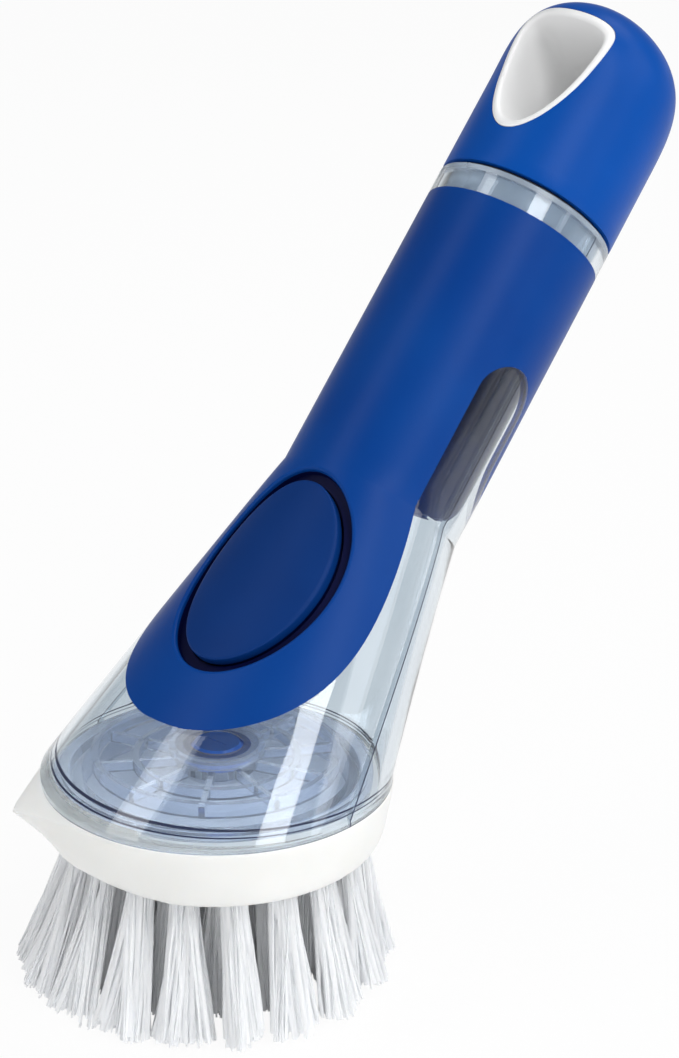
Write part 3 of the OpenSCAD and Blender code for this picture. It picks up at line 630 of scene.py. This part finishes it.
def oval_prism(name, grow):
    """A slab along the pad's outward direction whose outline is the pad's oval grown by a margin."""
    turn, reach = full_turn(180), 16.0
    flat = np.stack([(pad_wide + grow) * np.cos(turn), (pad_long + grow) * np.sin(turn)], -1)
    ring = pad_origin + flat[:, :1] * np.array([1.0, 0, 0]) + flat[:, 1:] * pad_up
    return surface(name, np.stack([ring - reach * pad_out, ring + reach * pad_out]), wrap_columns=True, caps=(0, -1))


weld_right = wall_solid("weld_right", quarter - weld_half, quarter + weld_half, -0.02, weld_deep, top_row, 1)
weld_left = wall_solid("weld_left", -quarter - weld_half, -quarter + weld_half, -0.02, weld_deep, top_row, 1)
carve(front_shell, recess, drop=False)
carve(front_shell, oval_prism("frame_hole", 3.85))
carve(weld_right, recess, drop=False)
carve(weld_left, recess, drop=False)
carve(rear_shell, recess)
# light is lost in the welds, which show as dark hairlines
weld_dark, _ = moulded_material("weld_dark", (0.004, 0.01, 0.045), (0.008, 0.016, 0.07), Roughness=0.35,
                                Grain_Height=0.1, Grain_Scale=2000)
plate_welds = []
for low_w, high_w in ((0.014, 0.019), (0.05, 0.059)):
    corners = [[low_w, -0.1], [high_w, -0.1], [high_w, 0.08], [low_w, 0.08]]
    rings = [wall(w, full_turn(192)[None, :], bottle_wall + depth) for w, depth in corners]
    plate_welds.append(surface("plate_weld_%d" % round(high_w * 1000), np.concatenate(rings), wrap_rows=True,
                               wrap_columns=True))
    tidy_normals(plate_welds[-1])
for weld in (weld_right, weld_left, *plate_welds):
    smooth(weld, 25)
    dress(weld, weld_dark)
    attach(weld, "bottle")
for shell, node in ((front_shell, "front_shell"), (rear_shell, "rear_shell")):
    smooth(shell, 25)
    dress(shell, clear_plastic)
    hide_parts(node)
    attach(shell, "bottle")

# Grip
# A soft skin of blue thermoplastic rubber is moulded into the recess, so no air lies between it and the clear wall.
# It wraps the handle, with a tongue round the press pad, a window on each side and a short tongue at the back.
grip = wall_solid("grip_skin", half_step, whole + half_step, 0.0, grip_t + 0.04, w_at(grip_top + 2), 192)
carve(grip, outline_prism("grip_edge", grip_outline, 0.03), "INTERSECT")
carve(grip, oval_prism("pad_well", 3.4))
smooth(grip, 25)


def soft_touch(name, low, high, **values):
    """Soft-touch rubber: a matt face with a weak broad gloss, over a fine even grain."""
    made, main = moulded_material(name, low, high, **values)
    set_values(main, IOR=1.48, Specular_IOR_Level=0.11)
    return made


grip_blue = soft_touch("grip_soft_blue", (0.001, 0.043, 0.245), (0.0014, 0.053, 0.275), Roughness=0.36,
                       Grain_Height=0.35, Grain_Scale=3200, Mottle_Scale=35, Roughness_Range=0.1)
dress(grip, grip_blue)
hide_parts("grip")
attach(grip, "bottle")

# Press pad, its frame, bellows and plate
# The pad is a domed oval of the same rubber on a stiff plate. It stands in a groove coloured near black as painted
# shade, whose outer lip rolls over from the grip, and a thin bellows below keeps the soap in and springs the pad back.


def front_sections(x, v):
    """Finds, for each [x, v] of the pad's own plane, the point of the bottle's surface straight above or below it,
    by Newton steps on the surface's two parameters."""
    w = np.full(np.shape(x), 0.62)
    a = np.asarray(x, float) / 26.0
    for _ in range(30):
        p = wall(w, a) - pad_origin
        dw = (wall(w + 1e-4, a) - wall(w - 1e-4, a)) / 2e-4
        da = (wall(w, a + 1e-4) - wall(w, a - 1e-4)) / 2e-4
        ex, ev = x - p[..., 0], v - p @ pad_up
        m11, m12, m21, m22 = dw[..., 0], da[..., 0], dw @ pad_up, da @ pad_up
        det = m11 * m22 - m12 * m21
        w = w + np.clip((ex * m22 - ev * m12) / det, -0.2, 0.2)
        a = a + np.clip((ev * m11 - ex * m21) / det, -0.3, 0.3)
    return w, a


def oval_skin(grow, depth, turn):
    """Points of the bottle's surface on the pad's oval grown by a margin, sunk by a depth along the pad's own
    direction."""
    grow, depth, turn = np.broadcast_arrays(np.asarray(grow, float), np.asarray(depth, float), turn)
    w, a = front_sections((pad_wide + grow) * np.cos(turn), (pad_long + grow) * np.sin(turn))
    return wall(w, a) - depth[..., None] * pad_out


oval_turn = full_turn(180)[None, :]


def oval_ring(name, margins):
    """A closed ring round the pad, swept from a cross-section of [margin, depth] points."""
    m = np.array(margins)[:, :, None]
    return surface(name, oval_skin(m[:, 0], m[:, 1], oval_turn), wrap_rows=True, wrap_columns=True)


roll = np.radians(np.linspace(90, 0, 8))
lip = oval_ring("grip_lip", np.vstack([[[3.42, 1.25], [3.42, 0.6], [3.42, 0.0]],
                                       np.stack([2.5 + 0.9 * (1 - np.cos(roll)), 0.9 * (1 - np.sin(roll))], -1),
                                       [[2.5, 1.25]]]))
pad_frame = oval_ring("pad_frame_groove", [[3.75, 1.35], [2.7, 1.35], [2.4, 2.3], [0.9, 2.6], [0.32, 2.6],
                                           [0.32, 4.1], [3.75, 4.1]])
share = np.concatenate([np.linspace(0.0, 0.9, 19), [0.94, 0.965]])
crown = 0.25 * (1 - share ** 2)
edge = np.radians(np.linspace(0, 90, 7))
pad_sink, pad_round, pad_side = 0.2, 0.45, 2.3


def pad_points():
    """The pad as rings from its middle out: a slight crown, a small rounded rim, a side wall and a flat back."""
    rings = []
    for s, c in zip(share, crown):
        w, a = front_sections(pad_wide * s * np.cos(oval_turn), pad_long * s * np.sin(oval_turn))
        rings.append(wall(w, a) - (pad_sink - c) * pad_out)
    for e in edge:
        rings.append(oval_skin(-pad_round + pad_round * np.sin(e), pad_sink + pad_round * (1 - np.cos(e)), oval_turn))
    rings.append(oval_skin(0.0, pad_side, oval_turn))
    rings.append(oval_skin(-3.0, pad_side, oval_turn))
    return np.concatenate(rings, 0)


press_pad = surface("press_pad_skin", pad_points(), wrap_columns=True, caps=(0, -1))
for piece in (lip, pad_frame, press_pad):
    tidy_normals(piece)
    smooth(piece, 40)
pad_blue = soft_touch("pad_soft_blue", (0.001, 0.028, 0.155), (0.0014, 0.034, 0.18), Roughness=0.46,
                      Grain_Height=0.3, Grain_Scale=3400, Mottle_Scale=45, Roughness_Range=0.1)
# painted shade: the groove, the bellows and the pad's plate are coloured near-black navy for the shade in the recess
# round the pad
dark_painted_shade, dark_painted_shade_shader = moulded_material("groove_painted_shade", (0.0004, 0.002, 0.035), (0.0006, 0.003, 0.05),
                                            Roughness=0.5, Grain_Height=0.2, Grain_Scale=2600)
set_values(dark_painted_shade_shader, Specular_IOR_Level=0.12)
dress(lip, grip_blue)
dress(pad_frame, dark_painted_shade)
dress(press_pad, pad_blue)
for node in ("pad_bellows", "pad_plate"):
    dress(nodes[node], dark_painted_shade)
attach(lip, "bottle")
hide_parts("pad_frame")
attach(pad_frame, "bottle")
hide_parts("press_pad")
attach(press_pad, "pad")

# Filling neck, gasket and seal
# The neck is a clear threaded ring glued in the bottle's mouth, with a gasket on its top under the cap's plug. A
# black ring seals the cap against the neck and shows as the dark line under the cap.
neck_plastic = clear_moulding("neck_plastic", (0.60, 0.70, 0.82), (0.68, 0.77, 0.87), 0.22, 0.7)
dress(nodes["neck"], neck_plastic)
dress(nodes["cap_seal"], seal_rubber)
dress(nodes["neck_gasket"], seal_rubber)
dress(nodes["cap_plug"], outlet_white)

# Cap
# The cap is a blue soft-touch shell on a white threaded cup. Its end is a dome that leans to the front, and a white
# lined hole for hanging it up runs through it.
cap_foot, cap_top, dome_len, dome_fore, cap_wall = 131.7, 177.2, 25.0, 3.6, 1.8
dome_foot = cap_top - dome_len


def dome_radius(full):
    """The dome's radius as a share of the handle's, at a share of its height: (1 - full ^ 3.8) ^ 0.58."""
    return np.maximum(1 - full ** 3.8, 1e-9) ** 0.58


def cap_skin(q, a, depth=0.0):
    """Points of the cap about the handle's axis as [x, g, s]. Below q = 0 it is straight; from 0 to 1 it is a dome,
    where full = 1 - (1 - q) ^ 1.75 is the share of its height, and whose middle slides forwards with the square of
    that height."""
    q, a, depth = np.broadcast_arrays(np.asarray(q, float), np.asarray(a, float), np.asarray(depth, float))
    full = 1 - (1 - np.clip(q, 0, 1)) ** 1.75
    tall = dome_len - depth
    s = dome_foot + tall * full + np.minimum(q, 0)
    r = (handle_r - depth) * dome_radius(full)
    shift = dome_fore * (tall * full / dome_len) ** 2
    return np.stack([r * np.sin(a), -shift - r * np.cos(a), s], -1)


foot_bevel = 0.35
cap_rows = np.concatenate([np.linspace(cap_foot - dome_foot + foot_bevel, 0, 8)[:-1], np.linspace(0, 0.995, 56)])
cap_turn = full_turn(240)[None, :]
foot_round = np.stack([cap_skin(cap_foot - dome_foot, cap_turn, d)[0] for d in (cap_wall, foot_bevel, 0.1)])
inner_rows = np.concatenate([np.linspace(0.99, 0, 30), np.linspace(0, cap_foot + 8 - dome_foot, 4)[1:]])
cap_points = np.concatenate([foot_round, cap_skin(cap_rows[:, None], cap_turn)], 0)
cap_shell = surface("cap_skin_blue", to_frame(cap_points), wrap_columns=True, caps=(0, -1))
cap_hollow = surface("cap_hollow", to_frame(cap_skin(inner_rows[:, None], cap_turn, cap_wall)),
                     wrap_columns=True, caps=(0, -1), flip=True)
carve(cap_shell, cap_hollow)
cup_turn, cup_r = full_turn(192), handle_r - cap_wall
cup = np.stack([np.stack([cup_r * np.sin(cup_turn), -cup_r * np.cos(cup_turn), np.full(len(cup_turn), s)], -1)
                for s in (cap_foot - 3, cap_foot + 8.3)])
carve(cap_shell, surface("cap_socket", to_frame(cup), wrap_columns=True, caps=(0, -1)))

# Liner of the hanging hole
# A white tube lines the hole. Its front mouth is a tall egg, narrow below, with a soft inner edge, and it tapers to
# a smaller mouth at the back.
hole_len, hole_w, liner_wall, hole_rear, hole_rise = 30.7, 24.8, 1.9, 0.56, 4.6
hole_mid = cap_foot + 7.9 + hole_len / 2
hole_turn = full_turn(144)


def hole_outline(inset):
    """The egg as [x, s] about its middle. Its height u runs from 0 at the foot to 1 as (1 - cos) / 2, and its half
    width follows sqrt(1 - (1 - u) ^ 1.8) * (1 - u ^ 14) ^ 0.25, so it is narrow below and square above."""
    c, s = np.cos(hole_turn), np.sin(hole_turn)
    u = (1 - c) / 2
    half = 1.045 * np.sqrt(np.maximum(1 - (1 - u) ** 1.8, 0)) * np.maximum(1 - u ** 14, 0) ** 0.25
    return np.stack([np.sign(s) * (hole_w / 2 - inset) * half, -(hole_len / 2 - inset) * c], -1)


def even_loop(p):
    """The same closed outline with its points spread evenly along it."""
    q = np.vstack([p, p[:1]])
    d = np.concatenate([[0], np.cumsum(np.linalg.norm(np.diff(q, axis=0), axis=1))])
    t = np.linspace(0, d[-1], len(p) + 1)[:-1]
    return np.stack([np.interp(t, d, q[:, k]) for k in (0, 1)], -1)


def tunnel_lines(inset):
    """The two ends of each straight line that the tunnel's wall is ruled with, at 21.5 mm before and behind."""
    front, rear = even_loop(hole_outline(inset)), even_loop(hole_outline(0)) * (hole_rear - inset / (hole_w / 2))
    deep = np.full(len(front), handle_r + 2)
    return (np.stack([front[:, 0], -deep, hole_mid + front[:, 1]], -1),
            np.stack([rear[:, 0], deep, hole_mid + hole_rise + rear[:, 1]], -1))


def cap_radius_at(p):
    """How far outside the cap a point [x, g, s] lies, as its distance from the middle less the cap's radius."""
    full = np.clip((p[..., 2] - dome_foot) / dome_len, 0, 1)
    return np.hypot(p[..., 0], p[..., 1] + dome_fore * full ** 2) - handle_r * dome_radius(full)


def mouth_share(start, end, low, high):
    """Where each line crosses the cap's skin, by halving, as a share of the line."""
    outer_side = np.sign(cap_radius_at(start + (end - start) * low))
    lo, hi = np.full(len(start), low), np.full(len(start), high)
    for _ in range(40):
        mid = (lo + hi) / 2
        same = np.sign(cap_radius_at(start + (end - start) * mid[:, None])) == outer_side
        lo, hi = np.where(same, mid, lo), np.where(same, hi, mid)
    return lo


def liner_ring(inset, sink, rear):
    """One ring of the liner: on the wall at an inset, sunk by some millimetres below the cap's skin."""
    start, end = tunnel_lines(inset)
    q = mouth_share(start, end, 1.0, 0.5) if rear else mouth_share(start, end, 0.0, 0.5)
    step = sink / (2 * (handle_r + 2))
    q = q - step if rear else q + step
    return start + (end - start) * q[:, None]


def tunnel_ring(inset, share):
    """One ring of the tunnel's wall, a share of the way from the front mouth to the rear one."""
    front, rear = liner_ring(inset, 1.3, False), liner_ring(inset, 0.9, True)
    return front + (rear - front) * share


bend = np.radians(np.linspace(0, 90, 8))
front_rings = [liner_ring(0.0, 0.35, False), liner_ring(0.12, 0.03, False), liner_ring(0.35, -0.04, False)]
front_rings += [liner_ring(0.75 + 1.15 * math.sin(e), -0.04 + 1.34 * (1 - math.cos(e)), False) for e in bend]
middle_rings = [tunnel_ring(liner_wall, k / 16) for k in range(1, 16)]
rear_rings = [liner_ring(1.1 + 0.8 * math.cos(e), 0.9 - 0.9 * math.sin(e), True) for e in bend]
rear_rings += [liner_ring(0.12, 0.03, True), liner_ring(0.0, 0.35, True)]
back_rings = [tunnel_ring(0.0, k / 6) for k in (5, 4, 3, 2, 1)]
liner = surface("hole_liner_white", to_frame(np.stack(front_rings + middle_rings + rear_rings + back_rings)),
                wrap_rows=True, wrap_columns=True)
tidy_normals(liner)
smooth(liner, 50)
liner_white, _ = moulded_material("liner_white", (0.86, 0.86, 0.86), (0.90, 0.90, 0.90),
                                  Roughness=0.34, Grain_Height=0.08, Grain_Scale=1500)
dress(liner, liner_white)
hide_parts("hole_liner")
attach(liner, "cap")
front_cut, rear_cut = tunnel_lines(-0.03)
carve(cap_shell, surface("hole_tool", to_frame(np.stack([front_cut, rear_cut])), wrap_columns=True, caps=(0, -1)))
smooth(cap_shell, 28)
cap_blue = soft_touch("cap_soft_blue", (0.001, 0.064, 0.34), (0.0014, 0.074, 0.38), Roughness=0.35,
                      Grain_Height=0.35, Grain_Scale=3000, Mottle_Scale=35, Roughness_Range=0.1)
dress(cap_shell, cap_blue)
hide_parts("cap_shell")
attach(cap_shell, "cap")

# Floor, world and lamps
# A white table in a room that is white to the camera and dim to the rest, lit by broad softboxes low in front and on
# the right, small ones that light the bristles, tall strips that mirror in the clear flare, and one behind.
table_half = 3000.0
floor = surface("floor", np.array([[[x, y, 0.0] for x in (-table_half, table_half)]
                                   for y in (-table_half, table_half)]))
floor_material = bpy.data.materials.new("floor_white")
floor_material.use_nodes = True
floor_material.node_tree.nodes.clear()


def looked_at(tree, path, mirrored_part):
    """1 where the camera looks straight, and a part of that where it looks by way of gloss or glass."""
    mirrored = calculated(tree, "MAXIMUM", path.outputs["Is Glossy Ray"], path.outputs["Is Transmission Ray"])
    return calculated(tree, "MAXIMUM", path.outputs["Is Camera Ray"],
                      calculated(tree, "MULTIPLY", mirrored, mirrored_part))


def floor_look():
    """The floor is white paper: diffuse, and lifted to the white of the background where the camera looks at it. In
    gloss and glass it is as white up to half a metre from the wand, the size of a table, and plain beyond."""
    tree = floor_material.node_tree
    link = tree.links.new
    out, path = add_node(tree, "OutputMaterial"), add_node(tree, "LightPath")
    plain, white = add_node(tree, "BsdfDiffuse", Color=(0.94, 0.94, 0.94, 1)), add_node(tree, "Emission")
    place, away = add_node(tree, "TexCoord"), add_node(tree, "VectorMath")
    away.operation = "LENGTH"
    near = add_node(tree, "MapRange", From_Min=0.8, From_Max=0.5)
    link(place.outputs["Object"], away.inputs[0])
    link(away.outputs["Value"], near.inputs["Value"])
    lifted = calculated(tree, "MULTIPLY", looked_at(tree, path, near.outputs[0]), 0.93)
    # from below, the camera looks through the table at the brush
    back, through = add_node(tree, "NewGeometry"), add_node(tree, "BsdfTransparent")
    below = calculated(tree, "MULTIPLY", path.outputs["Is Camera Ray"], back.outputs["Backfacing"])
    link(mixed(tree, below, mixed(tree, lifted, plain, white), through).outputs[0], out.inputs[0])


floor_look()
dress(floor, floor_material)
room = bpy.data.worlds.new("room")
room.use_nodes = True
room.node_tree.nodes.clear()
bpy.context.scene.world = room


def room_look():
    """The room gives weak light from all round. The camera sees it white; gloss and glass see it white only up
    to the table's level, and dim above that, where a studio is dark."""
    tree = room.node_tree
    link = tree.links.new
    out, path = add_node(tree, "OutputWorld"), add_node(tree, "LightPath")
    light = add_node(tree, "Background", Color=(0.96, 0.98, 1, 1), Strength=0.24)
    white = add_node(tree, "Background", Color=(1, 1, 1, 1), Strength=1.0)
    way, split = add_node(tree, "TexCoord"), add_node(tree, "SeparateXYZ")
    low = add_node(tree, "MapRange", From_Min=0.12, From_Max=-0.02)
    link(way.outputs["Generated"], split.inputs[0])
    link(split.outputs["Z"], low.inputs["Value"])
    link(mixed(tree, looked_at(tree, path, low.outputs[0]), light, white).outputs[0], out.inputs[0])


room_look()
middle = Vector((0, 0.05, 0.10))


def lamp(name, azimuth, elevation, away, width, height, power):
    """A rectangular softbox that looks at the wand's middle from an azimuth, counted from the front round to the
    right, an elevation in degrees and a distance in metres."""
    a, e = math.radians(azimuth), math.radians(elevation)
    place = middle + away * Vector((math.sin(a) * math.cos(e), -math.cos(a) * math.cos(e), math.sin(e)))
    light = bpy.data.lights.new(name, "AREA")
    light.shape, light.size, light.size_y, light.energy = "RECTANGLE", width, height, power
    made = bpy.data.objects.new(name, light)
    bpy.context.scene.collection.objects.link(made)
    turned = (middle - place).to_track_quat("-Z", "Y").to_matrix().to_4x4()
    made.matrix_world = Matrix.Translation(place) @ turned


lamp("front_softbox", 24, 6, 1.4, 1.3, 0.7, 5.2)
lamp("low_left_softbox", -62, 3, 1.2, 0.6, 0.25, 1.6)
lamp("low_right_softbox", 84, 3, 1.2, 0.6, 0.25, 1.7)
lamp("right_softbox", 120, 32, 1.2, 0.8, 0.7, 3.8)
lamp("right_strip", 77, 50, 1.2, 0.3, 0.8, 4.9)
lamp("left_strip", -41, 54, 1.2, 0.29, 0.8, 2.3)
lamp("rear_softbox", 170, 55, 1.2, 0.7, 0.5, 3.0)
